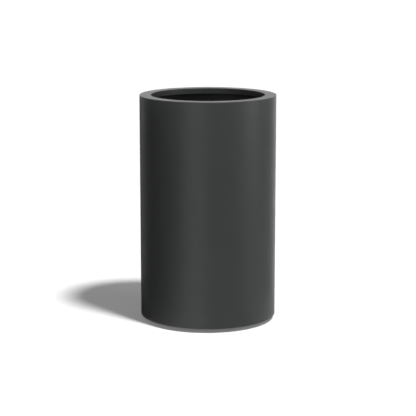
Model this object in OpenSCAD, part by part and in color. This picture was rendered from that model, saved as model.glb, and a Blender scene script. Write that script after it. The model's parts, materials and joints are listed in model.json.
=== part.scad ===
// Tall round floor planter in powder-coated aluminium: a rolled shell with a flat rim, a raised base
// on levelling feet, and a planting floor that lifts out of the mouth. Millimetres, +Z up.
// The origin is on the floor, on the planter's axis, and the front looks along -Y.

/* [Shell] */
// Outside diameter of the shell and of the rim
shell_d = 600; // [540:5:800]
// Height from the floor to the top of the rim, with the feet wound in
overall_h = 1000; // [900:5:1300]
// Thickness of the rolled shell sheet
shell_t = 3; // [2:0.5:5]
// Height of the shell's lower edge above the floor
ground_gap = 18; // [10:1:30]

/* [Rim] */
// Width of the flat rim, from its outside edge to the mouth
rim_w = 50; // [35:1:80]
// Thickness of the rim ring
rim_t = 3; // [2:0.5:6]
// Depth of the turned-down strip at the mouth, from the top of the rim
return_h = 25; // [15:1:60]
// Thickness of the turned-down strip
return_t = 3; // [2:0.5:5]
// Radius on the two top edges of the rim
rim_edge_r = 1; // [0.5:0.25:1.75]

/* [Base] */
// Thickness of the base plate
base_t = 4; // [3:0.5:8]
// Radial fit-up gap of the base plate and of the ledge ring in the shell
fitup_gap = 0.25; // [0.1:0.05:0.5]
// Diameter of the drain outlet in the middle of the base
outlet_d = 25; // [15:1:50]
// Diameter of the small drain holes round the outlet
drain_d = 15; // [8:1:25]
// Pitch circle of the small drain holes
drain_pcd = 200; // [120:5:240]
// Number of small drain holes
drain_n = 4; // [3:1:8]
// Width of the base channels, across their web
channel_w = 40; // [34:1:50]
// Height of the base channels
channel_h = 30; // [26:1:60]
// Wall of the base channels
channel_t = 3; // [2:0.5:4]
// Gap between the corners of a channel and the shell
channel_end_gap = 7; // [3:1:30]

/* [Feet] */
// Spacing of the feet, centre to centre, along X and along Y
foot_spacing = 290; // [230:5:330]
// Outside diameter of the thread of a foot
stud_d = 10; // [8:0.5:12]
// Width across flats of the hexagon that turns the foot
hex_af = 17; // [15:0.5:24]
// Height of that hexagon
hex_h = 6.5; // [4:0.5:12]
// Width across flats of the lock nut
nut_af = 17; // [15:0.5:24]
// Height of the lock nut
nut_h = 5; // [4:0.5:10]
// Outside diameter of the threaded boss in the channel
boss_d = 20; // [16:0.5:26]
// Height of the threaded boss
boss_h = 16; // [10:0.5:18]
// Room between the top of the stud and the base plate
stud_headroom = 3; // [1:0.5:4]
// Diameter of the foot's pad
pad_d = 50; // [40:1:70]
// Thickness of the pad's disc
pad_disc_t = 6; // [5:0.5:10]
// Diameter of the hub that holds the stud
hub_d = 20; // [18:0.5:30]
// Height of the hub above the disc
hub_h = 5.5; // [4:0.5:12]
// Metal under the end of the stud
pad_floor_t = 2; // [1:0.5:2.5]
// Diameter of the neck of the stud
neck_d = 7; // [5:0.5:7.5]
// Diameter of the head that holds the stud in the pad
head_d = 11; // [8:0.5:12]
// Height of that head
head_h = 2; // [1.5:0.25:3]
// Diameter of the rubber sole
sole_d = 44; // [30:1:46]
// Thickness of the rubber sole
sole_t = 3; // [2:0.5:5]
// How far the sole stands up into the pad
sole_recess = 1.5; // [0.5:0.5:1.5]

/* [Planting floor] */
// Depth from the top of the rim to the top of the planting floor
planting_depth = 450; // [250:5:600]
// Thickness of the planting floor
floor_t = 4; // [3:0.5:8]
// Radial room of the planting floor in the mouth
floor_play = 7; // [3:0.5:15]
// Width of the planting floor that lies on the ledge
floor_lap = 23; // [12:1:40]
// Thickness of the ledge ring
ledge_t = 3; // [2:0.5:6]
// Height of the locating ring under the planting floor
locator_h = 15; // [8:1:30]
// Thickness of the locating ring
locator_t = 3; // [2:0.5:5]
// Radial room of the locating ring in the ledge
locator_play = 3; // [1:0.5:6]
// Diameter of the drainage holes in the planting floor
perf_d = 10; // [5:0.5:16]
// Spacing of the rings of drainage holes
perf_pitch = 48; // [30:1:80]
// Diameter of the two finger holes
finger_d = 26; // [24:1:36]
// Land between a finger hole and the locating ring
finger_land = 24; // [8:1:40]
// Least metal between a finger hole and the drainage holes
finger_web = 6; // [3:1:20]
// Height of the gussets under the ledge
gusset_h = 60; // [35:1:120]
// Thickness of the gussets
gusset_t = 3; // [2:0.5:6]
// How far the gussets stop short of the ledge's inner edge
gusset_setback = 17; // [8:1:30]
// Height of the blunt ends of a gusset
gusset_nose = 12; // [5:1:20]
// Number of gussets
gusset_n = 6; // [4:2:12]

/* [Welds] */
// Leg of the fillet welds at the rim, the ledge and the base
weld_leg = 3; // [2:0.5:5]
// Width of the seam weld inside the shell
seam_w = 8; // [5:0.5:14]
// Height of the seam weld
seam_proud = 1.5; // [0.5:0.25:2]
// Room between the seam weld's back and the shell
seam_seat = 0.15; // [0.1:0.05:0.3]

/* [Fits] */
// Radial room of a thread or a neck in its bore
running_play = 0.05; // [0.02:0.01:0.1]
// Radial room of the stud in the hole through the web
web_hole_play = 0.5; // [0.3:0.1:1]
// Radial room of the sole in the pad
sole_play = 0.1; // [0.05:0.05:0.3]
// Room above the head of the stud in the pad
head_play = 0.1; // [0.05:0.05:0.3]
// Gap between the hub and the hexagon
hub_gap = 0.5; // [0.3:0.1:2]

/* [Hidden] */
$fn = 144;
// Sides of the large round that trims the gussets to the shell
fine_round = 720;

coat = "#3e3f41";
weld_coat = "#464749";
zinc = "#b9bcc0";
rubber = "#242424";
// A cutter runs this far past the faces that it cuts
overcut = 1;
// Sizes of the small chamfers on turned and stamped pieces
chamfer = 1;
// How far the top of the pad's rim slopes in
pad_slope = 3;
hexagon = 6;
// The hexagon's corners lie this much further out than its flats
corner_ratio = 1 / cos(180 / hexagon);
// The first gusset stands on +X, so none meets the seam at the back
seam_angle = 90;

shell_r = shell_d / 2;
shell_ri = shell_r - shell_t;
shell_top = overall_h - rim_t;
mouth_r = shell_r - rim_w;

// Heights up the foot, from the floor to the base plate
pad_z = sole_t - sole_recess;
socket_z = sole_t + pad_floor_t;
disc_top = pad_z + pad_disc_t;
hub_top = disc_top + hub_h;
hex_z = hub_top + hub_gap;
nut_z = hex_z + hex_h;
web_z = nut_z + nut_h;
boss_z = web_z + channel_t;
base_z = web_z + channel_h;
base_top = base_z + base_t;
stud_top = base_z - stud_headroom;

// Heights and radii of the planting floor and of the ledge that carries it
floor_top = overall_h - planting_depth;
floor_z = floor_top - floor_t;
ledge_z = floor_z - ledge_t;
floor_r = mouth_r - floor_play;
ledge_ri = floor_r - floor_lap;
ledge_r = shell_ri - fitup_gap;
locator_r = ledge_ri - locator_play;
locator_ri = locator_r - locator_t;
gusset_leg = shell_ri - ledge_ri - gusset_setback;
finger_r = locator_ri - finger_land - finger_d / 2;
perf_rings = floor((finger_r - finger_d / 2 - finger_web - perf_d / 2) / perf_pitch);
holes_per_ring = 6;

channel_x = foot_spacing / 2;
channel_half = sqrt(pow(shell_ri, 2) - pow(channel_x + channel_w / 2, 2)) - channel_end_gap;

// The seam weld is a slice of a cylinder, whose flat back spans a chord of the shell's inside
seam_back = sqrt(pow(shell_ri, 2) - pow(seam_w / 2, 2)) - seam_seat;
seam_arc_r = (pow(seam_w / 2, 2) + pow(seam_proud, 2)) / (2 * seam_proud);
seam_runs = [
    [ground_gap, base_z],
    [base_top + weld_leg, ledge_z],
    [floor_z + weld_leg, shell_top - weld_leg]
];

module tube(r_out, r_in, z, h) {
    translate([0, 0, z])
        difference() {
            cylinder(r = r_out, h = h);
            translate([0, 0, -overcut])
                cylinder(r = r_in, h = h + 2 * overcut);
        }
}

// A fillet weld round the axis, in the corner at (r, z), reaching dr inwards or outwards and dz up or down
module fillet_ring(r, z, dr, dz) {
    rotate_extrude()
        polygon([[r, z], [r + dr, z], [r, z + dz]]);
}

module at_foot(side, row) {
    translate([side * foot_spacing / 2, row * foot_spacing / 2, 0])
        children();
}

module at_each_foot() {
    for (side = [-1, 1])
        for (row = [-1, 1])
            at_foot(side, row)
                children();
}

// A hexagon with its corners chamfered at both ends, as on a turned nut
module chamfered_hexagon(af, z, h) {
    translate([0, 0, z])
        intersection() {
            cylinder(d = af * corner_ratio, h = h, $fn = hexagon);
            union() {
                cylinder(r1 = af / 2, r2 = af / 2 + chamfer, h = chamfer);
                translate([0, 0, chamfer])
                    cylinder(r = af / 2 + chamfer, h = h - 2 * chamfer);
                translate([0, 0, h - chamfer])
                    cylinder(r1 = af / 2 + chamfer, r2 = af / 2, h = chamfer);
            }
        }
}

module thread_bore(z, h) {
    translate([0, 0, z - overcut])
        cylinder(r = stud_d / 2 + running_play, h = h + 2 * overcut);
}

// The shell is one sheet, rolled round and open at both ends
module outer_shell() {
    color(coat)
        tube(shell_r, shell_ri, ground_gap, shell_top - ground_gap);
}

module seam_weld() {
    color(weld_coat)
        for (run = seam_runs)
            rotate([0, 0, seam_angle])
                translate([seam_back - seam_proud, -seam_w / 2, run[0]])
                    intersection() {
                        cube([seam_proud, seam_w, run[1] - run[0]]);
                        translate([seam_arc_r, seam_w / 2, 0])
                            cylinder(r = seam_arc_r, h = run[1] - run[0]);
                    }
}

// A flat ring on top of the shell, with both of its top edges rounded
module rim_flange() {
    color(coat)
        rotate_extrude()
            union() {
                translate([mouth_r, shell_top])
                    square([rim_w, rim_t - rim_edge_r]);
                translate([mouth_r + rim_edge_r, shell_top])
                    square([rim_w - 2 * rim_edge_r, rim_t]);
                for (r = [mouth_r + rim_edge_r, shell_r - rim_edge_r])
                    translate([r, overall_h - rim_edge_r])
                        circle(r = rim_edge_r);
            }
}

module rim_return() {
    color(coat)
        tube(mouth_r + return_t, mouth_r, overall_h - return_h, return_h - rim_t);
}

module rim_weld() {
    color(weld_coat) {
        fillet_ring(shell_ri, shell_top, -weld_leg, -weld_leg);
        fillet_ring(mouth_r + return_t, shell_top, weld_leg, -weld_leg);
    }
}

module base_plate() {
    color(coat)
        translate([0, 0, base_z])
            difference() {
                cylinder(r = shell_ri - fitup_gap, h = base_t);
                translate([0, 0, -overcut])
                    cylinder(d = outlet_d, h = base_t + 2 * overcut);
                for (i = [0 : drain_n - 1])
                    rotate([0, 0, (i + 0.5) * 360 / drain_n])
                        translate([drain_pcd / 2, 0, -overcut])
                            cylinder(d = drain_d, h = base_t + 2 * overcut);
            }
}

// The weld ring bridges the fit-up gap between the plate and the shell
module corner_weld(z) {
    fillet_ring(shell_ri, z, -weld_leg - fitup_gap, weld_leg);
}

module base_weld() {
    color(weld_coat)
        corner_weld(base_top);
}

// A channel runs front to back with its web down, and carries two feet
module base_channel(side) {
    color(coat)
        translate([side * channel_x, 0, web_z])
            difference() {
                translate([-channel_w / 2, -channel_half, 0])
                    cube([channel_w, 2 * channel_half, channel_h]);
                translate([channel_t - channel_w / 2, -channel_half - overcut, channel_t])
                    cube([channel_w - 2 * channel_t, 2 * (channel_half + overcut), channel_h]);
                for (row = [-1, 1])
                    translate([0, row * foot_spacing / 2, -overcut])
                        cylinder(r = stud_d / 2 + web_hole_play, h = channel_t + 2 * overcut);
            }
}

module base_channel_left() {
    base_channel(-1);
}

module base_channel_right() {
    base_channel(1);
}

// Threaded aluminium bosses, welded onto the web over its holes
module foot_bosses() {
    color(coat)
        at_each_foot()
            difference() {
                union() {
                    translate([0, 0, boss_z])
                        cylinder(d = boss_d, h = boss_h - chamfer);
                    translate([0, 0, boss_z + boss_h - chamfer])
                        cylinder(d1 = boss_d, d2 = boss_d - 2 * chamfer, h = chamfer);
                }
                thread_bore(boss_z, boss_h);
            }
}

// Thin nuts, tight against the underside of the web
module foot_lock_nuts() {
    color(zinc)
        at_each_foot()
            difference() {
                chamfered_hexagon(nut_af, nut_z, nut_h);
                thread_bore(nut_z, nut_h);
            }
}

module ledge_ring() {
    color(coat)
        tube(ledge_r, ledge_ri, ledge_z, ledge_t);
}

module ledge_weld() {
    color(weld_coat)
        corner_weld(floor_z);
}

module ledge_gussets() {
    color(coat)
        intersection() {
            for (i = [0 : gusset_n - 1])
                rotate([90, 0, i * 360 / gusset_n])
                    linear_extrude(gusset_t, center = true)
                        polygon([
                            [shell_r, ledge_z],
                            [shell_ri - gusset_leg, ledge_z],
                            [shell_ri - gusset_leg, ledge_z - gusset_nose],
                            [shell_ri - gusset_nose, ledge_z - gusset_h],
                            [shell_r, ledge_z - gusset_h]
                        ]);
            cylinder(r = shell_ri, h = overall_h, $fn = fine_round);
        }
}

module floor_disc() {
    color(coat)
        translate([0, 0, floor_z])
            difference() {
                cylinder(r = floor_r, h = floor_t);
                for (ring = [1 : perf_rings])
                    for (i = [0 : holes_per_ring * ring - 1])
                        rotate([0, 0, i * 360 / (holes_per_ring * ring)])
                            translate([ring * perf_pitch, 0, -overcut])
                                cylinder(d = perf_d, h = floor_t + 2 * overcut);
                for (side = [-1, 1])
                    translate([side * finger_r, 0, -overcut])
                        cylinder(d = finger_d, h = floor_t + 2 * overcut);
            }
}

module floor_locating_ring() {
    color(coat)
        tube(locator_r, locator_ri, floor_z - locator_h, locator_h);
}

// Head and neck turn in the pad, the hexagon takes a spanner, and the thread runs up through the boss
module foot_stud(side, row) {
    color(zinc)
        at_foot(side, row)
            union() {
                translate([0, 0, socket_z])
                    cylinder(d = head_d, h = head_h);
                translate([0, 0, socket_z])
                    cylinder(d = neck_d, h = hex_z - socket_z + chamfer);
                chamfered_hexagon(hex_af, hex_z, hex_h);
                translate([0, 0, hex_z + chamfer])
                    cylinder(d = stud_d, h = stud_top - hex_z - 2 * chamfer);
                translate([0, 0, stud_top - chamfer])
                    cylinder(d1 = stud_d, d2 = stud_d - 2 * chamfer, h = chamfer);
            }
}

module foot_stud_front_left() {
    foot_stud(-1, -1);
}

module foot_stud_front_right() {
    foot_stud(1, -1);
}

module foot_stud_back_left() {
    foot_stud(-1, 1);
}

module foot_stud_back_right() {
    foot_stud(1, 1);
}

// A turned steel pad, with a socket that holds the stud's head and a recess for the sole
module foot_pad(side, row) {
    color(zinc)
        at_foot(side, row)
            difference() {
                rotate_extrude()
                    polygon([
                        [0, pad_z],
                        [pad_d / 2, pad_z],
                        [pad_d / 2, disc_top - chamfer],
                        [pad_d / 2 - pad_slope, disc_top],
                        [hub_d / 2, disc_top],
                        [hub_d / 2, hub_top],
                        [0, hub_top]
                    ]);
                translate([0, 0, pad_z - overcut])
                    cylinder(r = sole_d / 2 + sole_play, h = sole_recess + overcut);
                translate([0, 0, socket_z])
                    cylinder(r = head_d / 2 + running_play, h = head_h + head_play);
                translate([0, 0, socket_z])
                    cylinder(r = neck_d / 2 + running_play, h = hub_top - socket_z + overcut);
            }
}

module foot_pad_front_left() {
    foot_pad(-1, -1);
}

module foot_pad_front_right() {
    foot_pad(1, -1);
}

module foot_pad_back_left() {
    foot_pad(-1, 1);
}

module foot_pad_back_right() {
    foot_pad(1, 1);
}

module foot_sole(side, row) {
    color(rubber)
        at_foot(side, row)
            cylinder(d = sole_d, h = sole_t);
}

module foot_sole_front_left() {
    foot_sole(-1, -1);
}

module foot_sole_front_right() {
    foot_sole(1, -1);
}

module foot_sole_back_left() {
    foot_sole(-1, 1);
}

module foot_sole_back_right() {
    foot_sole(1, 1);
}

outer_shell();
seam_weld();
rim_flange();
rim_return();
rim_weld();
base_plate();
base_weld();
base_channel_left();
base_channel_right();
foot_bosses();
foot_lock_nuts();
ledge_ring();
ledge_weld();
ledge_gussets();
floor_disc();
floor_locating_ring();
foot_stud_front_left();
foot_stud_front_right();
foot_stud_back_left();
foot_stud_back_right();
foot_pad_front_left();
foot_pad_front_right();
foot_pad_back_left();
foot_pad_back_right();
foot_sole_front_left();
foot_sole_front_right();
foot_sole_back_left();
foot_sole_back_right();
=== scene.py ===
"""Tall round floor planter: the fine shape and the finish of every piece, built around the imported
model. Metres, +Z up, with the front towards -Y."""
import json
import math

import bmesh
import bpy
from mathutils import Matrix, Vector


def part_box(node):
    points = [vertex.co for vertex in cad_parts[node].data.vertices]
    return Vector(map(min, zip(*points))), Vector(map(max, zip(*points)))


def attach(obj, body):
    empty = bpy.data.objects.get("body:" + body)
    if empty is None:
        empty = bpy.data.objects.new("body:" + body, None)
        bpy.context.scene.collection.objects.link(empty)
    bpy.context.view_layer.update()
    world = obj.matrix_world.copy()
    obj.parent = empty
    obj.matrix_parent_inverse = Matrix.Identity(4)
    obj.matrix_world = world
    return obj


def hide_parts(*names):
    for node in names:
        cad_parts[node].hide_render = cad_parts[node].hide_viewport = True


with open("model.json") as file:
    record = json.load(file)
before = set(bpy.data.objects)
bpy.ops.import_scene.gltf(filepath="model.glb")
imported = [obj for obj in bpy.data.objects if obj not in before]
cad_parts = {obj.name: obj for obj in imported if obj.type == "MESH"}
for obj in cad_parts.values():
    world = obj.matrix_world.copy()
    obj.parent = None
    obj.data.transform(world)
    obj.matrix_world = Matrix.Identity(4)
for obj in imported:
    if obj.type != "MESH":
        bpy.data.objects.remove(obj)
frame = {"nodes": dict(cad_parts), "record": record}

bl_info = {
    "name": "Round Floor Planter",
    "version": (1, 0, 0),
    "blender": (4, 5, 0),
    "location": "3D View > Sidebar > Planter",
    "description": "Builds the pieces, the finishes and the studio of a tall round aluminium planter",
    "category": "Add Mesh",
}

MM = 0.001
FULL_TURN = 2 * math.pi
# The black nets of the studio, as (degrees to the right of the camera, share of the light taken)
WALL_NET = (
    (-180, 0.0), (-150, 0.0), (-136, 0.97), (-124, 0.76), (-113, 0.29), (-103, 0.81), (-92, 0.97),
    (-78, 0.97), (-30, 0.09), (80, 0.16), (104, 0.52), (125, 0.04), (150, 0.0), (180, 0.0))
FLOOR_NET = (
    (-180, 0.13), (-150, 0.14), (-135, 0.36), (-120, 0.81), (-108, 0.89), (-78, 0.97), (-45, 0.6),
    (-28, 0.08), (-10, 0.07), (5, 0.64), (45, 0.68), (62, 0.46), (80, 0.46), (104, 0.41), (150, 0.0),
    (180, 0.0))
# Their rungs, as (radius, height, weight), where the weight makes the net thicker far out
WALL_RUNGS = ((0.62, 0.001, 1.0), (0.62, 1.0, 1.0))
FLOOR_RUNGS = (
    (0.33, 0.001, 1.0), (0.62, 0.001, 1.0), (1.2, 0.001, 1.0), (3.0, 0.001, 1.4), (12.0, 0.001, 1.8))

# Names of the values that the meshes carry for their materials
THIN_COAT_AND_EDGE_HIGHLIGHT = "coat_edge"
TURNED_MM = "turned_mm"
DRESSED = "dressed"
NET_DENSITY = "net_density"

# The four feet, named for where they stand
FEET = ("front_left", "front_right", "back_left", "back_right")

# Flat sides round one turn: shell and rim, rings and discs, pads, bosses, studs
SHELL_SIDES = 360
RING_SIDES = 288
PAD_SIDES = 96
BOSS_SIDES = 64
STUD_SIDES = 48
# Sides of a small hole for each millimetre of its radius, and the fewest that it has
SIDES_PER_MM = 2.2
LEAST_SIDES = 20
# Drainage holes in the innermost ring, and how many more each further ring has
HOLES_IN_RING = 6
# Steps of an arc on a soft corner, and how far beside it a line of points keeps the face flat
ARC_STEPS = 4
HOLD = 0.6 * MM
# Points closer than this are one, and faces that meet at a larger angle are shaded as an edge
SAME_POINT = 0.001 * MM
SHARP_ANGLE = math.radians(35)
# The round face of a nut, as a share of its width across flats, and the slope of its chamfer
NUT_FACE = 0.96
NUT_SLOPE = math.tan(math.radians(30))
# Columns of the shell's mesh on half of the dressed strip, and how many of its half widths from the
# seam the even columns start
SEAM_COLUMNS = 8
SEAM_CLEAR = 2.1
# How fast the dressing fades out to the sides of its strip
SEAM_FADE = 2
# How far the middle of a weld's ripple runs ahead, as a share of the ripple
RIPPLE_LEAD = 0.8
# The square of how thin a weld's ends are, as a share of its thickness
BEAD_END = 0.02
# The bore of a stud's hexagon, as a share of the stud's core, which it bites into
HEXAGON_BITE = 0.9

# The studio's floor and panels, in metres, and the point that the panels look at
FLOOR_RADIUS = 60.0
FLOOR_DROP = 0.2 * MM
PANEL = {"shape": "RECTANGLE", "size": 1.2, "size_y": 2.0}
FRONT_PANEL = (-1.9, -3.6, 2.2)
SIDE_PANEL = (3.2, -0.9, 1.5)
PANEL_AIM = (0.0, 0.0, 0.6)
# Height where the studio's walls start to darken and where they are dark, as the sine of the angle
WALL_FADE = (0.42, 0.72)
# About how many degrees there are from one column of a net to the next
NET_STEP = 5


def linear(hex_value):
    """The linear colour of an sRGB hex value, with its alpha."""
    channels = [int(hex_value[i:i + 2], 16) / 255 for i in (1, 3, 5)]
    return (*(c / 12.92 if c <= 0.04045 else ((c + 0.055) / 1.055) ** 2.4 for c in channels), 1.0)


def size_of(name, description, millimetres):
    return bpy.props.FloatProperty(
        name=name, description=description, default=millimetres * MM, min=0.0, precision=5,
        unit="LENGTH")


def amount(name, description, default):
    return bpy.props.FloatProperty(
        name=name, description=description, default=default, min=0.0, precision=4)


def angle_of(name, description, degrees):
    return bpy.props.FloatProperty(
        name=name, description=description, default=math.radians(degrees), precision=4, subtype="ANGLE")


def count_of(name, description, default):
    return bpy.props.IntProperty(name=name, description=description, default=default, min=1)


def colour_of(name, description, hex_value):
    return bpy.props.FloatVectorProperty(
        name=name, description=description, default=linear(hex_value), size=4, min=0.0, max=1.0,
        subtype="COLOR")


class PlanterSizes(bpy.types.PropertyGroup):
    """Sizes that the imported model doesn't give by itself"""
    sheet_edge: size_of("Sheet edge", "Radius on the broken edges of sheet and plate", 0.4)
    rim_edge: size_of("Rim edge", "Radius on the two top edges of the rim", 1.0)
    seam_flat: size_of("Seam flat", "Depth of the flat where the shell's seam was dressed", 0.12)
    seam_reach: size_of("Seam reach", "Half width of the strip that was dressed", 7.0)
    drain_count: count_of("Drain holes", "Number of small drain holes in the base", 4)
    drain_circle: size_of("Drain circle", "Pitch circle of the small drain holes", 200.0)
    drain_hole: size_of("Drain hole", "Diameter of the small drain holes", 15.0)
    channel_wall: size_of("Channel wall", "Thickness of the folded channels", 3.0)
    channel_fold: size_of("Channel fold", "Inside radius of the folds", 1.5)
    web_hole: size_of("Web hole", "Diameter of the hole through a channel for a stud", 11.0)
    boss: size_of("Boss", "Diameter of a threaded boss", 20.0)
    thread_bore: size_of("Thread bore", "Diameter of the threaded bore of a boss or a nut", 10.1)
    chamfer: size_of("Chamfer", "Softened corner of turned pieces", 1.0)
    across_flats: size_of("Across flats", "Width of the hexagons of the studs and the lock nuts", 17.0)
    stud: size_of("Stud", "Outside diameter of the thread", 10.0)
    thread_pitch: size_of("Thread pitch", "Climb of the thread in one turn", 1.5)
    thread_depth: size_of("Thread depth", "From the crest of the thread to its root", 0.9)
    head: size_of("Head", "Diameter of the head that holds the stud in its pad", 11.0)
    head_height: size_of("Head height", "Height of that head", 2.0)
    neck: size_of("Neck", "Diameter of the stud between head and hexagon", 7.0)
    hub: size_of("Hub", "Diameter of the pad's hub", 20.0)
    hub_gap: size_of("Hub gap", "Between the hub and the hexagon", 0.5)
    pad_disc: size_of("Pad disc", "Thickness of the pad's disc", 6.0)
    pad_slope: size_of("Pad slope", "How far the top of the pad's rim slopes in", 3.0)
    running_room: size_of("Running room", "Room between the stud and its pad", 0.05)
    sole_groove: size_of("Sole groove", "Width of a groove in the rubber sole", 1.4)
    sole_groove_depth: size_of("Groove depth", "Depth of a groove in the rubber sole", 0.98)
    small_edge: size_of("Small edge", "Radius on the head of a stud and on top of a sole", 0.3)
    inner_edge: size_of("Inner edge", "Radius in the neck, the recess and the grooves of a foot", 0.2)
    socket_edge: size_of("Socket edge", "Radius in the corners of a pad's socket", 0.1)
    sole_edge: size_of("Sole edge", "Radius where a sole meets the floor", 0.5)
    gusset_count: count_of("Gussets", "Number of gussets under the ledge", 6)
    gusset_sheet: size_of("Gusset sheet", "Thickness of the gussets", 3.0)
    gusset_nose: size_of("Gusset nose", "Height of the blunt ends of a gusset", 12.0)
    perforation: size_of("Perforation", "Diameter of the holes in the planting floor", 10.0)
    perforation_pitch: size_of("Perforation pitch", "Spacing of the rings of holes", 48.0)
    finger_hole: size_of("Finger hole", "Diameter of the two finger holes", 26.0)
    ripple: size_of("Weld ripple", "Spacing of the ripples of a weld", 2.6)
    stitch: size_of("Stitch", "Length of a short weld", 30.0)
    channel_stitches: count_of("Channel stitches", "Number of short welds on each side of a channel", 5)
    stitch_leg: size_of("Stitch leg", "Leg of the short welds", 2.5)
    locator_stitches: count_of("Ring stitches", "Number of short welds inside the locating ring", 8)


class PlanterColours(bpy.types.PropertyGroup):
    """Colours of the finishes"""
    coat: colour_of("Coat", "Polyester powder coat", "#313332")
    # Paler coat on outside edges: partly the coat drawn thin, partly a painted edge highlight
    coat_edge: colour_of("Coat on edges", "The same coat where it draws thin over an edge", "#4b4c4d")
    weld: colour_of("Coat on welds", "The same coat on the backs of weld ripples", "#383939")
    zinc: colour_of("Zinc", "Bright zinc plating", "#c3c7cb")
    zinc_dull: colour_of("Dull zinc", "Zinc plating where it has dulled", "#a2a7ab")
    rubber: colour_of("Rubber", "Nitrile rubber", "#1b1b1c")
    rubber_bloom: colour_of("Rubber bloom", "The bloom on the rubber", "#2b2b2b")


class StudioSettings(bpy.types.PropertyGroup):
    """Camera, floor and lights"""
    camera_distance: size_of("Camera distance", "From the planter's axis, along the floor", 6406.7)
    camera_height: size_of("Camera height", "From the floor to the camera", 1727.0)
    camera_offset: size_of("Camera offset", "From the planter's middle plane, to the right", 0.5)
    camera_pitch: angle_of("Camera pitch", "How far the camera looks down", 10.903)
    camera_lens: amount("Camera lens", "Focal length in millimetres on a 36 mm sensor", 126.97)
    key_azimuth: angle_of("Key azimuth", "Direction of the key light, to the right of the camera", 44.3)
    key_elevation: angle_of("Key elevation", "Height of the key light above the horizon", 62.3)
    key_softness: angle_of("Key softness", "Width of the key light as the planter sees it", 8.0)
    key_strength: amount("Key strength", "Light of the key on a surface that faces it", 3.3)
    ambient: amount("Ambient", "Level of the light from the studio's walls and ceiling", 0.1)
    floor: colour_of("Floor", "Matt white floor", "#eeeeee")
    floor_glow: amount("Floor glow", "What the floor adds to its own white where it is seen", 0.145)
    front_power: amount("Front panel", "Power of the soft panel to the left of the camera", 13.7)
    side_power: amount("Side panel", "Power of the soft panel on the right", 17.2)


def solid_points(node):
    return [v.co for v in frame["nodes"][node].data.vertices]


def ring_of(node, axis=(0.0, 0.0)):
    """Inside radius, outside radius, bottom and top of a node that is round about a vertical axis."""
    points = solid_points(node)
    radii = [math.hypot(p.x - axis[0], p.y - axis[1]) for p in points]
    heights = [p.z for p in points]
    return min(radii), max(radii), min(heights), max(heights)


def foot_axis(name):
    """Where a foot's axis meets the floor, as (x, y)."""
    first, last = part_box(f"foot_pad_{name}")
    return (first.x + last.x) / 2, (first.y + last.y) / 2


def finger_place():
    """Distance of the finger holes from the planter's axis, from the record's openings."""
    openings = frame["record"]["physics"]["openings"]
    box = next(o["box_m"] for o in openings if o["name"] == "finger_hole_right")
    return (box[0][0] + box[1][0]) / 2


def fresh_mesh():
    """An empty mesh whose points carry the values that the materials read."""
    bm = bmesh.new()
    for layer in (THIN_COAT_AND_EDGE_HIGHLIGHT, TURNED_MM, DRESSED):
        bm.verts.layers.float.new(layer)
    return bm


def placed(name, bm, *materials):
    """Turns the mesh into an object of the scene."""
    mesh = bpy.data.meshes.new(name)
    bm.to_mesh(mesh)
    bm.free()
    for material in materials:
        mesh.materials.append(material)
    thing = bpy.data.objects.new(name, mesh)
    bpy.context.scene.collection.objects.link(thing)
    return thing


def finished(name, bm, material, body, slot, *nodes):
    """Turns the mesh into a named piece that rides on a body and stands for its CAD nodes."""
    bmesh.ops.remove_doubles(bm, verts=bm.verts, dist=SAME_POINT)
    bmesh.ops.recalc_face_normals(bm, faces=bm.faces)
    for face in bm.faces:
        face.smooth = True
    piece = placed(name, bm, material)
    piece.data.set_sharp_from_angle(angle=SHARP_ANGLE)
    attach(piece, body)
    if nodes:
        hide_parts(*nodes)
    return piece


def soft_outline(corners):
    """A closed outline from corners (a, b, radius). Each corner becomes an arc, with a holding point on
    either side that keeps the straight stretches flat. The third value is 1 on an outside corner's arc,
    where a coat draws thin and the coat material paints a pale edge highlight."""
    count = len(corners)
    points = [Vector(corner[:2]) for corner in corners]
    turning = sum(points[i - 1].cross(points[i]) for i in range(count))
    outline = []
    for i, (a, b, radius) in enumerate(corners):
        corner = points[i]
        if radius == 0:
            outline.append((a, b, 0.0))
            continue
        before = points[i - 1] - corner
        after = points[(i + 1) % count] - corner
        towards = before.normalized()
        away = after.normalized()
        half = towards.angle(away) / 2
        reach = radius / math.tan(half)
        centre = corner + (towards + away).normalized() * radius / math.sin(half)
        bend = away.cross(towards)
        outside = 1.0 if bend * turning > 0 else 0.0
        sweep = math.copysign(math.pi - 2 * half, bend)
        spoke = corner + towards * reach - centre
        start = math.atan2(spoke.y, spoke.x)
        if before.length > 2 * (reach + HOLD):
            outline.append((*(corner + towards * (reach + HOLD)), 0.0))
        for k in range(ARC_STEPS + 1):
            angle = start + sweep * k / ARC_STEPS
            outline.append((
                centre.x + radius * math.cos(angle), centre.y + radius * math.sin(angle), outside))
        if after.length > 2 * (reach + HOLD):
            outline.append((*(corner + away * (reach + HOLD)), 0.0))
    return outline


def soft_box(low_a, high_a, low_b, high_b, radius):
    corners = ((low_a, low_b), (high_a, low_b), (high_a, high_b), (low_a, high_b))
    return soft_outline([(a, b, radius) for a, b in corners])


def turn(steps):
    return [FULL_TURN * i / steps for i in range(steps)]


def around(radius, angle, height=0.0, axis=(0.0, 0.0)):
    """The point at this radius and angle about a vertical axis."""
    return Vector((axis[0] + radius * math.cos(angle), axis[1] + radius * math.sin(angle), height))


def join_columns(bm, columns, round_trip=True, loops=True):
    """Faces between columns of points, each joined to the next, and the last to the first on a round
    trip. The columns are loops, or else they have two ends."""
    faces = []
    for i in range(len(columns) if round_trip else len(columns) - 1):
        column = columns[i]
        following = columns[(i + 1) % len(columns)]
        for k in range(len(column) if loops else len(column) - 1):
            j = (k + 1) % len(column)
            faces.append(bm.faces.new((column[k], following[k], following[j], column[j])))
    return faces


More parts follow.
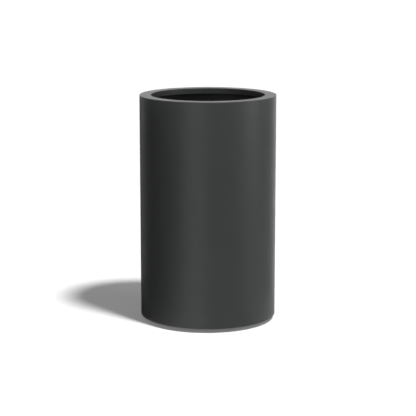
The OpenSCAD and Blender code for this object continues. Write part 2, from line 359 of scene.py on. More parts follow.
def revolve(bm, outline, angles, axis=(0.0, 0.0)):
    """Turns a closed outline of (radius, height, edge) about a vertical axis."""
    edge_layer = bm.verts.layers.float[THIN_COAT_AND_EDGE_HIGHLIGHT]
    turned_layer = bm.verts.layers.float[TURNED_MM]
    columns = []
    for angle in angles:
        column = []
        travel = 0.0
        previous = outline[0]
        for point in outline:
            radius, height, edge = point
            travel += math.dist(point[:2], previous[:2])
            previous = point
            vert = bm.verts.new(around(radius, angle, height, axis))
            vert[edge_layer] = edge
            vert[turned_layer] = travel / MM
            column.append(vert)
        columns.append(column)
    join_columns(bm, columns)


def turned_piece(name, outline, sides, *standing, axis=(0.0, 0.0)):
    """A piece turned from its outline, with the material, body and nodes that it stands for, and a slot
    that is not used.
    """
    bm = fresh_mesh()
    revolve(bm, outline, turn(sides), axis)
    finished(name, bm, *standing)


def plain_ring(name, node, sides, material, body, edge):
    """A coated ring of rectangular section, with its edges broken."""
    turned_piece(
        name, soft_box(*ring_of(node), edge), sides, material, body, "powder_coat", node)


def pierced_disc(bm, radius, low, high, holes, edge):
    """A flat disc with round holes (x, y, radius), whose every edge is broken to an arc."""
    edge_layer = bm.verts.layers.float[THIN_COAT_AND_EDGE_HIGHLIGHT]
    quarter = [math.pi / 2 * k / ARC_STEPS for k in range(ARC_STEPS + 1)]
    steps = [(edge + HOLD, high, 0.0)]
    steps += [(edge - edge * math.sin(a), high - edge + edge * math.cos(a), 1.0) for a in quarter]
    steps += [(edge - edge * math.cos(a), low + edge - edge * math.sin(a), 1.0) for a in quarter]
    steps += [(edge + HOLD, low, 0.0)]
    faces_of = {0: [], len(steps) - 1: []}
    rounds = [(0.0, 0.0, radius, -1, RING_SIDES)]
    rounds += [(x, y, r, 1, max(LEAST_SIDES, round(r / MM * SIDES_PER_MM))) for x, y, r in holes]
    for x, y, r, grows, count in rounds:
        rings = []
        for inset, height, edged in steps:
            ring = []
            for angle in turn(count):
                vert = bm.verts.new(around(r + grows * inset, angle, height, (x, y)))
                vert[edge_layer] = edged
                ring.append(vert)
            rings.append(ring)
        join_columns(bm, rings, round_trip=False)
        for level, edges in faces_of.items():
            ring = rings[level]
            edges += [bm.edges.get((ring[i - 1], ring[i])) for i in range(count)]
    for edges in faces_of.values():
        bmesh.ops.triangle_fill(bm, use_beauty=True, edges=edges, normal=(0, 0, 1))


def prism(bm, outline, along, up, across, depth, edge):
    """A flat plate from an outline of (a, b) points, a along one direction and b up, with its middle
    plane at the outline and its edges broken."""
    faces = []
    walls = []
    for side in (-0.5, 0.5):
        walls.append([bm.verts.new(along * a + up * b + across * (side * depth)) for a, b in outline])
        faces.append(bm.faces.new(walls[-1]))
    faces += join_columns(bm, walls, round_trip=False)
    edges = {e for face in faces for e in face.edges}
    bmesh.ops.bevel(bm, geom=list(edges), offset=edge, segments=3, profile=0.5, affect="EDGES")


def folded_channel(bm, outline, middle, half, edge):
    """A folded channel that runs along Y, from its outline of (x, z, edge) points."""
    edge_layer = bm.verts.layers.float[THIN_COAT_AND_EDGE_HIGHLIGHT]
    ends = []
    for side in (-1, 1):
        ring = []
        for x, z, edged in outline:
            vert = bm.verts.new((middle + x, side * half, z))
            vert[edge_layer] = edged
            ring.append(vert)
        ends.append(ring)
    join_columns(bm, ends, round_trip=False)
    rims = []
    for ring in ends:
        rims += bm.faces.new(ring).edges
    bmesh.ops.bevel(bm, geom=rims, offset=edge / 2, segments=2, profile=0.5, affect="EDGES")


def hexagon(bm, axis, flats, low, high, bore):
    """A hexagon with a round bore, corners on +X and -X, and both of its faces chamfered."""
    flat = flats / 2
    face_r = flat * NUT_FACE
    columns = []
    for angle in turn(PAD_SIDES):
        reach = flat / math.cos(angle % (math.pi / 3) - math.pi / 6)
        drop = (reach - face_r) * NUT_SLOPE
        points = [
            (bore, low), (face_r, low), (reach, low + drop), (reach, high - drop), (face_r, high),
            (bore, high)]
        columns.append([bm.verts.new(around(r, angle, z, axis)) for r, z in points])
    join_columns(bm, columns)


# Sections of a bead, as (across, out, lead): the lead draws the middle of each ripple forward
FILLET = (
    (1.0, 0.0, 0.0), (0.8, 0.27, 0.8), (0.56, 0.56, 1.0), (0.27, 0.8, 0.8), (0.0, 1.0, 0.0),
    (0.0, 0.0, 0.0))
CROWN = (
    (-1.0, 0.0, 0.0), (-0.8, 0.45, 0.5), (-0.42, 0.86, 0.85), (0.0, 1.0, 1.0),
    (0.42, 0.86, 0.85), (0.8, 0.45, 0.5), (1.0, 0.0, 0.0))
THREAD = ((-0.38, -0.2, 0.0), (-0.07, 1.0, 0.0), (0.07, 1.0, 0.0), (0.38, -0.2, 0.0))
# Steps of the thread in one turn
THREAD_STEPS = 24


def bead(bm, path, length, section, width, height, pitch, ripple=0.14, per_ripple=4, closed=False):
    """Sweeps a section along path(s), which gives a point, the way across and the way out at that
    length. A weld has ripples, each of which swells and then steps back, and its ends run out."""
    steps = max(3, round(length / pitch)) * per_ripple
    rings = []
    for i in range(steps if closed else steps + 1):
        swell = 1 - ripple * (i % per_ripple) / per_ripple
        s = length * i / steps
        if not closed:
            swell *= math.sqrt(min(1.0, max(min(s, length - s) / width, BEAD_END)))
        ring = []
        for across, out, lead in section:
            point, sideways, outwards = path(s + lead * pitch * RIPPLE_LEAD)
            point = point + sideways * (across * width * swell) + outwards * (out * height * swell)
            ring.append(bm.verts.new(point))
        rings.append(ring)
    join_columns(bm, rings, round_trip=closed)
    if not closed:
        bm.faces.new(rings[0])
        bm.faces.new(rings[-1][::-1])


def round_path(radius, height, sideways, upwards, axis=(0.0, 0.0), start=0.0):
    """The root of a weld that runs round a vertical axis. The weld lies outside of it for sideways 1
    and inside for -1, and above it for upwards 1 and below for -1."""
    def path(s):
        angle = start + s / radius
        point = around(radius, angle, height, axis)
        return point, around(sideways, angle), Vector((0.0, 0.0, upwards))
    return path


def straight_path(start, end, sideways, outwards):
    begin = Vector(start)
    way = (Vector(end) - begin).normalized()

    def path(s):
        return begin + way * s, Vector(sideways), Vector(outwards)
    return path


def drilled(piece, places, radius, low, high):
    """Cuts round holes through a piece, from low to high."""
    bm = bmesh.new()
    for x, y in places:
        cut = bmesh.ops.create_cone(
            bm, cap_ends=True, segments=STUD_SIDES, radius1=radius, radius2=radius, depth=high - low)
        bmesh.ops.translate(bm, verts=cut["verts"], vec=(x, y, (low + high) / 2))
    drill = placed("drill", bm)
    boolean = piece.modifiers.new("Drilled holes", "BOOLEAN")
    boolean.object = drill
    boolean.solver = "EXACT"
    bpy.context.view_layer.update()
    result = bpy.data.meshes.new_from_object(piece.evaluated_get(bpy.context.evaluated_depsgraph_get()))
    piece.modifiers.clear()
    piece.data = result
    result.name = piece.name
    result.set_sharp_from_angle(angle=SHARP_ANGLE)
    bpy.data.objects.remove(drill)


def add_node(tree, kind, inputs=None, **settings):
    """Adds a node with its settings. An input that is a socket is linked, one that is a node is linked
    to its first output, and any other is set."""
    node = tree.nodes.new(kind)
    for name, value in settings.items():
        setattr(node, name, value)
    for key, value in (inputs or {}).items():
        if isinstance(value, bpy.types.Node):
            value = value.outputs[0]
        if isinstance(value, bpy.types.NodeSocket):
            tree.links.new(value, node.inputs[key])
        else:
            node.inputs[key].default_value = value
    return node


def material_of(build, group="planter_colours"):
    """The material that a function builds from a group of settings. It has the function's name, and is
    made once."""
    name = build.__name__
    if name not in bpy.data.materials:
        material = bpy.data.materials.new(name)
        material.use_nodes = True
        tree = material.node_tree
        tree.nodes.clear()
        surface = build(tree, getattr(bpy.context.scene, group))
        add_node(tree, "ShaderNodeOutputMaterial", {"Surface": surface})
    return bpy.data.materials[name]


def per_mm(millimetres):
    """Scale of a pattern in object space, in metres, whose marks are this far apart."""
    return 1 / (millimetres * MM)


# Almost all values of a noise lie between these
NOISE = {"From Min": 0.3, "From Max": 0.7}


def matt_powder_coated_aluminium(tree, colours):
    """Aluminium sheet with a matt polyester powder coat, sprayed and baked. The eye gets a dense, almost
    black grey with a soft, broad sheen, a very fine grit, and a paler line on outside edges, partly
    where the coat draws thin and partly a painted edge highlight."""
    place = add_node(tree, "ShaderNodeTexCoord").outputs["Object"]
    # Cloudiness from the spray passes, about 180 mm across
    cloud = add_node(tree, "ShaderNodeTexNoise", {"Vector": place, "Scale": per_mm(180), "Detail": 2.0})
    # The grit is 0.1 mm on the real coat, and is drawn at 0.8 mm so that it shows close up
    grit = add_node(tree, "ShaderNodeTexNoise", {"Vector": place, "Scale": per_mm(0.8), "Detail": 1.0})
    # Orange peel of the flowed coat, 3 mm from crest to crest
    peel = add_node(tree, "ShaderNodeTexNoise", {"Vector": place, "Scale": per_mm(3), "Detail": 1.0})
    edge = add_node(tree, "ShaderNodeAttribute", attribute_name=THIN_COAT_AND_EDGE_HIGHLIGHT)
    dressed = add_node(tree, "ShaderNodeAttribute", attribute_name=DRESSED)
    # Outside edges get the paler coat: partly the coat drawn thin, partly a painted edge highlight
    thin = add_node(tree, "ShaderNodeMath", {0: edge.outputs["Fac"], 1: 0.35}, operation="MULTIPLY")
    edged = add_node(tree, "ShaderNodeMix", {
        "Factor": thin, 6: colours.coat, 7: colours.coat_edge}, data_type="RGBA")
    # The cloudiness and the grit each change the colour by a few hundredths
    shade = add_node(tree, "ShaderNodeMapRange", {
        "Value": cloud, **NOISE, "To Min": 0.97, "To Max": 1.03})
    speckle = add_node(tree, "ShaderNodeMapRange", {
        "Value": grit, **NOISE, "To Min": 0.92, "To Max": 1.08})
    toned = add_node(tree, "ShaderNodeMath", {0: shade, 1: speckle}, operation="MULTIPLY")
    colour = add_node(tree, "ShaderNodeVectorMath", {
        0: edged.outputs[2], "Scale": toned}, operation="SCALE")
    rough = add_node(tree, "ShaderNodeMapRange", {
        "Value": cloud, **NOISE, "To Min": 0.35, "To Max": 0.38})
    # The sanded seam lets the coat lie a little smoother
    rough_there = add_node(tree, "ShaderNodeMath", {
        0: dressed.outputs["Fac"], 1: -0.03, 2: rough}, operation="MULTIPLY_ADD")
    waves = add_node(tree, "ShaderNodeBump", {"Height": peel, "Strength": 1.0, "Distance": 0.05 * MM})
    grain = add_node(tree, "ShaderNodeBump", {
        "Height": grit, "Strength": 1.0, "Distance": 0.03 * MM, "Normal": waves})
    return add_node(tree, "ShaderNodeBsdfPrincipled", {
        "Base Color": colour, "Roughness": rough_there, "IOR": 1.45, "Normal": grain})


def powder_coated_weld(tree, colours):
    """A welded seam under the same powder coat. The coat flows over the ripples, so the eye gets their
    stacked crescents, softened, with a little more gloss on their backs."""
    place = add_node(tree, "ShaderNodeTexCoord").outputs["Object"]
    # Spatter and scale that show through the coat, 1.5 mm apart
    spatter = add_node(tree, "ShaderNodeTexNoise", {
        "Vector": place, "Scale": per_mm(1.5), "Detail": 3.0})
    colour = add_node(tree, "ShaderNodeMix", {
        "Factor": spatter, 6: colours.coat, 7: colours.weld}, data_type="RGBA")
    rough = add_node(tree, "ShaderNodeMapRange", {
        "Value": spatter, **NOISE, "To Min": 0.28, "To Max": 0.42})
    relief = add_node(tree, "ShaderNodeBump", {
        "Height": spatter, "Strength": 0.6, "Distance": 0.1 * MM})
    return add_node(tree, "ShaderNodeBsdfPrincipled", {
        "Base Color": colour.outputs[2], "Roughness": rough, "IOR": 1.45, "Normal": relief})


def zinc_plated_steel(tree, colours, turned=False):
    """Steel with bright zinc plating, blue passivated. The eye gets a cool, cloudy metal with dull
    blotches."""
    place = add_node(tree, "ShaderNodeTexCoord").outputs["Object"]
    # Blotches of the passivation, about 6 mm across
    blotch = add_node(tree, "ShaderNodeTexNoise", {"Vector": place, "Scale": per_mm(6), "Detail": 4.0})
    grain = add_node(tree, "ShaderNodeTexNoise", {"Vector": place, "Scale": per_mm(0.5), "Detail": 2.0})
    colour = add_node(tree, "ShaderNodeMix", {
        "Factor": blotch, 6: colours.zinc, 7: colours.zinc_dull}, data_type="RGBA")
    rough = add_node(tree, "ShaderNodeMapRange", {
        "Value": blotch, **NOISE, "To Min": 0.26, "To Max": 0.42})
    height = grain
    if turned:
        # Lathe rings 0.5 mm apart
        travel = add_node(tree, "ShaderNodeAttribute", attribute_name=TURNED_MM)
        phase = add_node(tree, "ShaderNodeMath", {
            0: travel.outputs["Fac"], 1: FULL_TURN / 0.5}, operation="MULTIPLY")
        rings = add_node(tree, "ShaderNodeMath", {0: phase}, operation="SINE")
        height = add_node(tree, "ShaderNodeMath", {0: rings, 1: 0.6, 2: grain}, operation="MULTIPLY_ADD")
    relief = add_node(tree, "ShaderNodeBump", {
        "Height": height, "Strength": 1.0, "Distance": 0.02 * MM})
    return add_node(tree, "ShaderNodeBsdfPrincipled", {
        "Base Color": colour.outputs[2], "Metallic": 1.0, "Roughness": rough, "Normal": relief})


def turned_zinc_plated_steel(tree, colours):
    """The same plating on turned pieces, over the fine rings that the lathe left."""
    return zinc_plated_steel(tree, colours, turned=True)


def moulded_nitrile_rubber(tree, colours):
    """Nitrile rubber, moulded. The eye gets a dead black with a faint bloom, and a fine matt skin."""
    place = add_node(tree, "ShaderNodeTexCoord").outputs["Object"]
    # Bloom in patches of about 8 mm, and the spark-eroded skin of the mould at 0.4 mm
    bloom = add_node(tree, "ShaderNodeTexNoise", {"Vector": place, "Scale": per_mm(8), "Detail": 3.0})
    skin = add_node(tree, "ShaderNodeTexNoise", {"Vector": place, "Scale": per_mm(0.4), "Detail": 1.0})
    colour = add_node(tree, "ShaderNodeMix", {
        "Factor": bloom, 6: colours.rubber, 7: colours.rubber_bloom}, data_type="RGBA")
    relief = add_node(tree, "ShaderNodeBump", {"Height": skin, "Strength": 0.6, "Distance": 0.03 * MM})
    return add_node(tree, "ShaderNodeBsdfPrincipled", {
        "Base Color": colour.outputs[2], "Roughness": 0.72, "IOR": 1.52, "Normal": relief})


class PLANTER_OT_shell(bpy.types.Operator):
    """Build the rolled shell, with its edges broken and its seam dressed at the back"""
    bl_idname = "planter.shell"
    bl_label = "Shell"

    def execute(self, context):
        sizes = context.scene.planter_sizes
        material = material_of(matt_powder_coated_aluminium)
        inner, outer, bottom, top = ring_of("outer_shell")
        seam_angle = math.pi / 2
        reach = sizes.seam_reach / outer
        last = 2 * SEAM_COLUMNS
        close = [seam_angle + reach * k / SEAM_COLUMNS for k in range(-last, last + 1)]
        wide = [a for a in turn(SHELL_SIDES) if abs(a - seam_angle) > SEAM_CLEAR * reach]
        bm = fresh_mesh()
        outline = soft_box(inner, outer, bottom, top, sizes.sheet_edge)
        revolve(bm, outline, sorted(close + wide))
        dressed_layer = bm.verts.layers.float[DRESSED]
        for vert in bm.verts:
            across = (math.atan2(vert.co.y, vert.co.x) - seam_angle) / reach
            vert[dressed_layer] = math.exp(-SEAM_FADE * across * across)
            # Only the outside is ground
            if vert.co.xy.length > inner + sizes.sheet_edge * 2:
                vert.co.xy *= 1 - vert[dressed_layer] * sizes.seam_flat / outer
        finished("shell_sheet", bm, material, "planter", "powder_coat", "outer_shell")
        return {"FINISHED"}


class PLANTER_OT_rim(bpy.types.Operator):
    """Build the flat rim ring and the strip turned down at the mouth"""
    bl_idname = "planter.rim"
    bl_label = "Rim"

    def execute(self, context):
        sizes = context.scene.planter_sizes
        material = material_of(matt_powder_coated_aluminium)
        inner, outer, bottom, top = ring_of("rim_flange")
        corners = [
            (inner, bottom, sizes.sheet_edge), (outer, bottom, sizes.sheet_edge),
            (outer, top, sizes.rim_edge), (inner, top, sizes.rim_edge)]
        turned_piece(
            "rim_ring", soft_outline(corners), SHELL_SIDES, material, "planter", "powder_coat",
            "rim_flange")
        plain_ring("rim_strip", "rim_return", SHELL_SIDES, material, "planter", sizes.sheet_edge)
        return {"FINISHED"}


class PLANTER_OT_base(bpy.types.Operator):
    """Build the drained base plate and the two folded channels under it"""
    bl_idname = "planter.base"
    bl_label = "Base"

    def execute(self, context):
        sizes = context.scene.planter_sizes
        material = material_of(matt_powder_coated_aluminium)
        outlet, radius, low, high = ring_of("base_plate")
        holes = [(0.0, 0.0, outlet)]
        for i in range(sizes.drain_count):
            angle = FULL_TURN * (i + 0.5) / sizes.drain_count
            holes.append((*around(sizes.drain_circle / 2, angle).xy, sizes.drain_hole / 2))
        bm = fresh_mesh()
        pierced_disc(bm, radius, low, high, holes, sizes.sheet_edge)
        finished("drained_base", bm, material, "planter", "powder_coat", "base_plate")

        for side in ("left", "right"):
            node = f"base_channel_{side}"
            first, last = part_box(node)
            middle = (first.x + last.x) / 2
            wide = (last.x - first.x) / 2
            wall = sizes.channel_wall
            fold = sizes.channel_fold
            edge = sizes.sheet_edge
            corners = [
                (-wide, first.z, fold + wall), (wide, first.z, fold + wall), (wide, last.z, edge),
                (wide - wall, last.z, edge), (wide - wall, first.z + wall, fold),
                (wall - wide, first.z + wall, fold), (wall - wide, last.z, edge), (-wide, last.z, edge),
            ]
            bm = fresh_mesh()
            folded_channel(bm, soft_outline(corners), middle, last.y, edge)
            channel = finished(f"folded_channel_{side}", bm, material, "planter", "powder_coat", node)
            places = [foot_axis(name) for name in FEET if name.endswith(side)]
            drilled(channel, places, sizes.web_hole / 2, first.z - wall, first.z + 2 * wall)
        return {"FINISHED"}


class PLANTER_OT_foot_seats(bpy.types.Operator):
    """Build the threaded bosses in the channels and the lock nuts under them"""
    bl_idname = "planter.foot_seats"
    bl_label = "Foot seats"

    def execute(self, context):
        sizes = context.scene.planter_sizes
        coat = material_of(matt_powder_coated_aluminium)
        zinc = material_of(zinc_plated_steel)
        bore = sizes.thread_bore / 2
        low, high = (corner.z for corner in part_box("foot_bosses"))
        radius = sizes.boss / 2
        corners = [
            (bore, low, sizes.sheet_edge), (radius, low, sizes.sheet_edge),
            (radius, high, sizes.chamfer), (bore, high, sizes.chamfer)]
        bm = fresh_mesh()
        for name in FEET:
            revolve(bm, soft_outline(corners), turn(BOSS_SIDES), foot_axis(name))
        finished("threaded_bosses", bm, coat, "planter", "powder_coat", "foot_bosses")
        bm = fresh_mesh()
        low, high = (corner.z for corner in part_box("foot_lock_nuts"))
        for name in FEET:
            hexagon(bm, foot_axis(name), sizes.across_flats, low, high, bore)
        finished("lock_nuts", bm, zinc, "planter", "zinc_steel", "foot_lock_nuts")
        return {"FINISHED"}


class PLANTER_OT_feet(bpy.types.Operator):
    """Build the four levelling feet: a threaded stud, a turned pad and a ribbed rubber sole each"""
    bl_idname = "planter.feet"
    bl_label = "Feet"

    def execute(self, context):
        sizes = context.scene.planter_sizes
        steel = material_of(turned_zinc_plated_steel)
        rubber = material_of(moulded_nitrile_rubber)
        for name in FEET:
            axis = foot_axis(name)
            self.stud(sizes, steel, name, axis)
            self.pad(sizes, steel, name, axis)
            self.sole(sizes, rubber, name, axis)
        return {"FINISHED"}

    def stud(self, sizes, material, name, axis):
        _, _, low, high = ring_of(f"foot_stud_{name}", axis)
        hub_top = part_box(f"foot_pad_{name}")[1].z
        nut_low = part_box("foot_lock_nuts")[0].z
        hex_low = hub_top + sizes.hub_gap
        head = sizes.head / 2
        head_top = low + sizes.head_height
        neck = sizes.neck / 2
        core = sizes.stud / 2 - sizes.thread_depth
        corners = [
            (0.0, low, 0.0), (head, low, sizes.small_edge), (head, head_top, sizes.small_edge),
            (neck, head_top, sizes.inner_edge), (neck, hex_low, 0.0), (core, hex_low, 0.0),
            (core, high, sizes.chamfer), (0.0, high, 0.0)]
        bm = fresh_mesh()
        revolve(bm, soft_outline(corners), turn(STUD_SIDES), axis)
        hexagon(bm, axis, sizes.across_flats, hex_low, nut_low, core * HEXAGON_BITE)
        pitch = sizes.thread_pitch
        turns = (high - sizes.chamfer - nut_low) / pitch
        climb = math.hypot(FULL_TURN * core, pitch)

        def winding(s):
            angle = FULL_TURN * s / climb
            point = around(core, angle, nut_low + pitch * s / climb, axis)
            return point, Vector((0, 0, 1)), around(1.0, angle)
        bead(
            bm, winding, climb * turns, THREAD, pitch, sizes.thread_depth, climb, ripple=0.0,
            per_ripple=THREAD_STEPS)
        finished(f"stud_{name}", bm, material, f"foot_{name}_stud", "zinc_steel", f"foot_stud_{name}")

    def pad(self, sizes, material, name, axis):
        _, radius, low, high = ring_of(f"foot_pad_{name}", axis)
        _, sole_r, _, recess = ring_of(f"foot_sole_{name}", axis)
        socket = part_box(f"foot_stud_{name}")[0].z
        room = sizes.running_room
        recess_r = sole_r + 2 * room
        head = sizes.head / 2 + room
        head_top = socket + sizes.head_height + 2 * room
        neck = sizes.neck / 2 + room
        shoulder = low + sizes.pad_disc
        hub = sizes.hub / 2
        soft = sizes.sheet_edge
        corners = [
            (0.0, recess, 0.0), (recess_r, recess, sizes.inner_edge), (recess_r, low, soft),
            (radius, low, soft), (radius, shoulder - sizes.chamfer, soft),
            (radius - sizes.pad_slope, shoulder, sizes.chamfer), (hub, shoulder, sizes.chamfer),
            (hub, high, sizes.chamfer), (neck, high, sizes.inner_edge),
            (neck, head_top, sizes.socket_edge), (head, head_top, sizes.socket_edge),
            (head, socket, sizes.socket_edge), (0.0, socket, 0.0)]
        turned_piece(
            f"pad_{name}", soft_outline(corners), PAD_SIDES, material, f"foot_{name}",
            "zinc_steel", f"foot_pad_{name}", axis=axis)

    def sole(self, sizes, material, name, axis):
        _, radius, low, high = ring_of(f"foot_sole_{name}", axis)
        corners = [
            (0.0, high, 0.0), (radius, high, sizes.small_edge), (radius, low, sizes.sole_edge)]
        groove = sizes.sole_groove
        deep = low + sizes.sole_groove_depth
        land = 2 * groove
        centre = radius - land
        while centre > land:
            outer = centre + groove / 2
            inner = centre - groove / 2
            for r, z in ((outer, low), (outer, deep), (inner, deep), (inner, low)):
                corners.append((r, z, sizes.inner_edge))
            centre -= groove + land
        corners.append((0.0, low, 0.0))
        turned_piece(
            f"sole_{name}", soft_outline(corners), PAD_SIDES, material, f"foot_{name}",
            "rubber", f"foot_sole_{name}", axis=axis)


class PLANTER_OT_ledge(bpy.types.Operator):
    """Build the ledge ring inside the shell and the gussets under it"""
    bl_idname = "planter.ledge"
    bl_label = "Ledge"

    def execute(self, context):
        sizes = context.scene.planter_sizes
        material = material_of(matt_powder_coated_aluminium)
        plain_ring("ledge", "ledge_ring", RING_SIDES, material, "planter", sizes.sheet_edge)
        inner, outer, low, high = ring_of("ledge_gussets")
        nose = sizes.gusset_nose
        outline = [
            (outer, high), (inner, high), (inner, high - nose), (outer - nose, low), (outer, low)]
        bm = fresh_mesh()
        for angle in turn(sizes.gusset_count):
            along = around(1.0, angle)
            across = Vector((-along.y, along.x, 0.0))
            prism(bm, outline, along, Vector((0, 0, 1)), across, sizes.gusset_sheet, sizes.sheet_edge)
        finished("gussets", bm, material, "planter", "powder_coat", "ledge_gussets")
        return {"FINISHED"}


class PLANTER_OT_planting_floor(bpy.types.Operator):
    """Build the perforated planting floor and the ring that keeps it in place on the ledge"""
    bl_idname = "planter.planting_floor"
    bl_label = "Planting floor"

    def execute(self, context):
        sizes = context.scene.planter_sizes
        material = material_of(matt_powder_coated_aluminium)
        _, radius, low, high = ring_of("floor_disc")
        finger_x = finger_place()
        holes = [(-finger_x, 0.0, sizes.finger_hole / 2), (finger_x, 0.0, sizes.finger_hole / 2)]
        room = finger_x - sizes.finger_hole / 2 - sizes.perforation
        for ring in range(1, math.floor(room / sizes.perforation_pitch) + 1):
            for angle in turn(HOLES_IN_RING * ring):
                place = around(ring * sizes.perforation_pitch, angle)
                holes.append((*place.xy, sizes.perforation / 2))
        bm = fresh_mesh()
        pierced_disc(bm, radius, low, high, holes, sizes.sheet_edge)
        finished("perforated_floor", bm, material, "planting_floor", "powder_coat", "floor_disc")
        plain_ring(
            "locating_ring", "floor_locating_ring", RING_SIDES, material, "planting_floor",
            sizes.sheet_edge)
        return {"FINISHED"}


class PLANTER_OT_welds(bpy.types.Operator):
    """Lay the weld beads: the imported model's long ones, and the short ones round the small pieces"""
    bl_idname = "planter.welds"
    bl_label = "Welds"

    def execute(self, context):
        sizes = context.scene.planter_sizes
        material = material_of(powder_coated_weld)
        self.long_welds(sizes, material)
        self.short_welds(sizes, material)
        return {"FINISHED"}

    def long_welds(self, sizes, material):
        pitch = sizes.ripple
        inner, outer, low, high = ring_of("rim_weld")
        leg = high - low
        bm = fresh_mesh()
        for radius, sideways in ((outer, -1), (inner, 1)):
            path = round_path(radius, high, sideways, -1)
            bead(bm, path, FULL_TURN * radius, FILLET, leg, leg, pitch, closed=True)
        finished("rim_beads", bm, material, "planter", "coated_weld", "rim_weld")
        for name, node in (("base_bead", "base_weld"), ("ledge_bead", "ledge_weld")):
            inner, outer, low, high = ring_of(node)
            bm = fresh_mesh()
            path = round_path(outer, low, -1, 1)
            bead(
                bm, path, FULL_TURN * outer, FILLET, outer - inner, high - low, pitch, closed=True)
            finished(name, bm, material, "planter", "coated_weld", node)
        first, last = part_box("seam_weld")
        stops = sorted({round(p.z, 5) for p in solid_points("seam_weld")})
        half = (last.x - first.x) / 2
        root = last.y
        soft = sizes.sheet_edge
        bm = fresh_mesh()
        for start, end in zip(stops[::2], stops[1::2]):
            path = straight_path((0, root, start + soft), (0, root, end), (1, 0, 0), (0, -1, 0))
            bead(bm, path, end - start - 3 * soft, CROWN, half, root - first.y, pitch)
        finished("seam_bead", bm, material, "planter", "coated_weld", "seam_weld")

    def short_welds(self, sizes, material):
        leg = sizes.stitch_leg
        shape = (FILLET, leg, leg, sizes.ripple)
        stitch = sizes.stitch
        bm = fresh_mesh()
        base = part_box("base_plate")[0].z
        count = sizes.channel_stitches
        for side in ("left", "right"):
            first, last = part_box(f"base_channel_{side}")
            for k in range(count):
                y = (2 * k - count + 1) * (last.y - stitch) / count
                for x, way in ((first.x, -1), (last.x, 1)):
                    path = straight_path(
                        (x, y - stitch / 2, base), (x, y + stitch / 2, base), (way, 0, 0), (0, 0, -1))
                    bead(bm, path, stitch, *shape)
        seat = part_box("foot_bosses")[0].z
        boss = sizes.boss / 2
        for name in FEET:
            path = round_path(boss, seat, 1, 1, foot_axis(name))
            bead(bm, path, FULL_TURN * boss, *shape, closed=True)
        finished("base_stitches", bm, material, "planter", "coated_weld")

        inner, outer, low, high = ring_of("ledge_gussets")
        bm = fresh_mesh()
        for angle in turn(sizes.gusset_count):
            along = around(1.0, angle)
            across = Vector((-along.y, along.x, 0.0))
            for side in (-1, 1):
                face = across * (side * sizes.gusset_sheet / 2)
                top = face + Vector((0, 0, high))
                foot = face + Vector((0, 0, low))
                under = straight_path(
                    along * (outer - leg) + top, along * inner + top, across * side, (0, 0, -1))
                bead(bm, under, outer - inner - 2 * leg, *shape)
                wall = straight_path(
                    along * outer + top - Vector((0, 0, leg)), along * outer + foot, across * side,
                    -along)
                bead(bm, wall, high - low - 2 * leg, *shape)
        finished("gusset_beads", bm, material, "planter", "coated_weld")

        inner, outer, low, high = ring_of("floor_locating_ring")
        bm = fresh_mesh()
        for angle in turn(sizes.locator_stitches):
            path = round_path(inner, high, -1, -1, start=angle)
            bead(bm, path, stitch, *shape)
        finished("locating_stitches", bm, material, "planting_floor", "coated_weld")


def lamp(name, kind, place, aim, energy, **settings):
    """A light at a place, turned towards the point aim."""
    data = bpy.data.lights.new(name, kind)
    data.energy = energy
    for setting, value in settings.items():
        setattr(data, setting, value)
    light = bpy.data.objects.new(name, data)
    light.location = place
    light.rotation_euler = (Vector(aim) - Vector(place)).to_track_quat("-Z", "Y").to_euler()
    bpy.context.scene.collection.objects.link(light)


def stage_mesh(name, bm, material):
    """Turns the mesh into a thing of the studio, which isn't part of the planter."""
    thing = placed(name, bm, material)
    return thing


def scrim(name, rungs, densities, material):
    """A net round the planter, seen only in reflections. Its rungs are (radius, height, weight), and
    its densities are (degrees to the right of the camera, share of the light that it takes)."""
    bm = bmesh.new()
    layer = bm.verts.layers.float.new(NET_DENSITY)
    columns = []
    for (start, low), (end, high) in zip(densities, densities[1:]):
        steps = max(1, round((end - start) / NET_STEP))
        for k in range(steps):
            azimuth = math.radians(start + (end - start) * k / steps)
            column = []
            for radius, height, weight in rungs:
                vert = bm.verts.new((radius * math.sin(azimuth), -radius * math.cos(azimuth), height))
                vert[layer] = min(1.0, weight * (low + (high - low) * k / steps))
                column.append(vert)
            columns.append(column)
    join_columns(bm, columns, loops=False)
    net = stage_mesh(name, bm, material)
    net.visible_camera = False
    net.visible_diffuse = False
    net.visible_shadow = False


def seen_directly(tree):
    """1 where the camera sees a thing by itself, in a reflection or through glass, and else 0."""
    path = add_node(tree, "ShaderNodeLightPath")
    mirrored = add_node(tree, "ShaderNodeMath", {
        0: path.outputs["Is Glossy Ray"], 1: path.outputs["Is Transmission Ray"]}, operation="MAXIMUM")
    seen = add_node(tree, "ShaderNodeMath", {
        0: path.outputs["Is Camera Ray"], 1: mirrored}, operation="MAXIMUM")
    return seen


def matt_white_floor_paint(tree, studio):
    """Matt white floor paint. The eye gets an even white that still holds a shadow."""
    paint = add_node(tree, "ShaderNodeBsdfDiffuse", {"Color": studio.floor})
    glow = add_node(tree, "ShaderNodeMath", {
        0: seen_directly(tree), 1: studio.floor_glow}, operation="MULTIPLY")
    lit = add_node(tree, "ShaderNodeEmission", {"Strength": glow})
    return add_node(tree, "ShaderNodeAddShader", {0: paint, 1: lit})


def black_scrim_net(tree, _):
    """Black net, which lets light through between its threads. The planter's sheen gets its soft dark
    bands from it."""
    weave = add_node(tree, "ShaderNodeAttribute", attribute_name=NET_DENSITY)
    clear = add_node(tree, "ShaderNodeBsdfTransparent")
    thread = add_node(tree, "ShaderNodeBsdfDiffuse", {"Color": linear("#0c0c0c")})
    return add_node(tree, "ShaderNodeMixShader", {0: weave.outputs["Fac"], 1: clear, 2: thread})


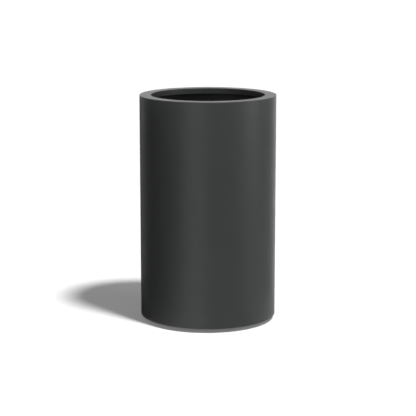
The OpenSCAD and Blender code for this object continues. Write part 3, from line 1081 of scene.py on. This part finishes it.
class PLANTER_OT_studio(bpy.types.Operator):
    """Set up the white floor, the lights, the studio round them and the camera"""
    bl_idname = "planter.studio"
    bl_label = "Studio"

    def execute(self, context):
        scene = context.scene
        studio = scene.planter_studio
        bm = bmesh.new()
        bmesh.ops.create_circle(bm, cap_ends=True, segments=PAD_SIDES, radius=FLOOR_RADIUS)
        floor = stage_mesh(
            "studio_floor", bm, material_of(matt_white_floor_paint, "planter_studio"))
        floor.location.z = -FLOOR_DROP

        towards = Vector((
            math.sin(studio.key_azimuth) * math.cos(studio.key_elevation),
            -math.cos(studio.key_azimuth) * math.cos(studio.key_elevation),
            math.sin(studio.key_elevation),
        ))
        lamp("key_light", "SUN", towards, (0, 0, 0), studio.key_strength, angle=studio.key_softness)

        net = material_of(black_scrim_net, "planter_studio")
        scrim("wall_net", WALL_RUNGS, WALL_NET, net)
        scrim("floor_net", FLOOR_RUNGS, FLOOR_NET, net)
        lamp("front_panel", "AREA", FRONT_PANEL, PANEL_AIM, studio.front_power, **PANEL)
        lamp("side_panel", "AREA", SIDE_PANEL, PANEL_AIM, studio.side_power, **PANEL)

        world = bpy.data.worlds.new("studio_walls")
        world.use_nodes = True
        tree = world.node_tree
        tree.nodes.clear()
        direction = add_node(tree, "ShaderNodeTexCoord").outputs["Generated"]
        height = add_node(tree, "ShaderNodeSeparateXYZ", {0: direction}).outputs["Z"]
        wall = add_node(tree, "ShaderNodeMapRange", {
            "Value": height, "From Min": WALL_FADE[0], "From Max": WALL_FADE[1], "To Min": 1.0,
            "To Max": 0.0}, interpolation_type="SMOOTHSTEP")
        level = add_node(tree, "ShaderNodeMapRange", {
            "Value": seen_directly(tree), "To Min": studio.ambient, "To Max": wall})
        light = add_node(tree, "ShaderNodeBackground", {
            "Color": (1.0, 1.0, 1.0, 1.0), "Strength": level})
        add_node(tree, "ShaderNodeOutputWorld", {"Surface": light})
        world.cycles.sampling_method = "NONE"
        scene.world = world

        data = bpy.data.cameras.new("photo_camera")
        data.sensor_width = 36.0
        data.lens = studio.camera_lens
        data.clip_end = 200.0
        camera = bpy.data.objects.new("photo_camera", data)
        camera.location = (studio.camera_offset, -studio.camera_distance, studio.camera_height)
        camera.rotation_euler = (math.pi / 2 - studio.camera_pitch, 0.0, 0.0)
        scene.collection.objects.link(camera)
        scene.camera = camera
        scene.view_settings.view_transform = "Standard"
        return {"FINISHED"}


OPERATORS = (
    PLANTER_OT_shell,
    PLANTER_OT_rim,
    PLANTER_OT_base,
    PLANTER_OT_foot_seats,
    PLANTER_OT_feet,
    PLANTER_OT_ledge,
    PLANTER_OT_planting_floor,
    PLANTER_OT_welds,
    PLANTER_OT_studio,
)


GROUPS = {
    "planter_sizes": PlanterSizes,
    "planter_colours": PlanterColours,
    "planter_studio": StudioSettings,
}


class PLANTER_PT_panel(bpy.types.Panel):
    """Lists the steps that build the planter"""
    bl_idname = "PLANTER_PT_panel"
    bl_label = "Planter"
    bl_space_type = "VIEW_3D"
    bl_region_type = "UI"
    bl_category = "Planter"

    def draw(self, context):
        for operator in OPERATORS:
            self.layout.operator(operator.bl_idname)
        for name, group in GROUPS.items():
            box = self.layout.box()
            for entry in group.__annotations__:
                box.prop(getattr(context.scene, name), entry)


def register():
    for group in GROUPS.values():
        bpy.utils.register_class(group)
    for name, group in GROUPS.items():
        setattr(bpy.types.Scene, name, bpy.props.PointerProperty(type=group))
    for shown in (*OPERATORS, PLANTER_PT_panel):
        bpy.utils.register_class(shown)


def unregister():
    for shown in (PLANTER_PT_panel, *reversed(OPERATORS)):
        bpy.utils.unregister_class(shown)
    for name, group in GROUPS.items():
        delattr(bpy.types.Scene, name)
        bpy.utils.unregister_class(group)


def main():
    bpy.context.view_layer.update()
    register()
    bpy.ops.planter.shell()
    bpy.ops.planter.rim()
    bpy.ops.planter.base()
    bpy.ops.planter.foot_seats()
    bpy.ops.planter.feet()
    bpy.ops.planter.ledge()
    bpy.ops.planter.planting_floor()
    bpy.ops.planter.welds()
    bpy.ops.planter.studio()


if __name__ == "__main__":
    main()
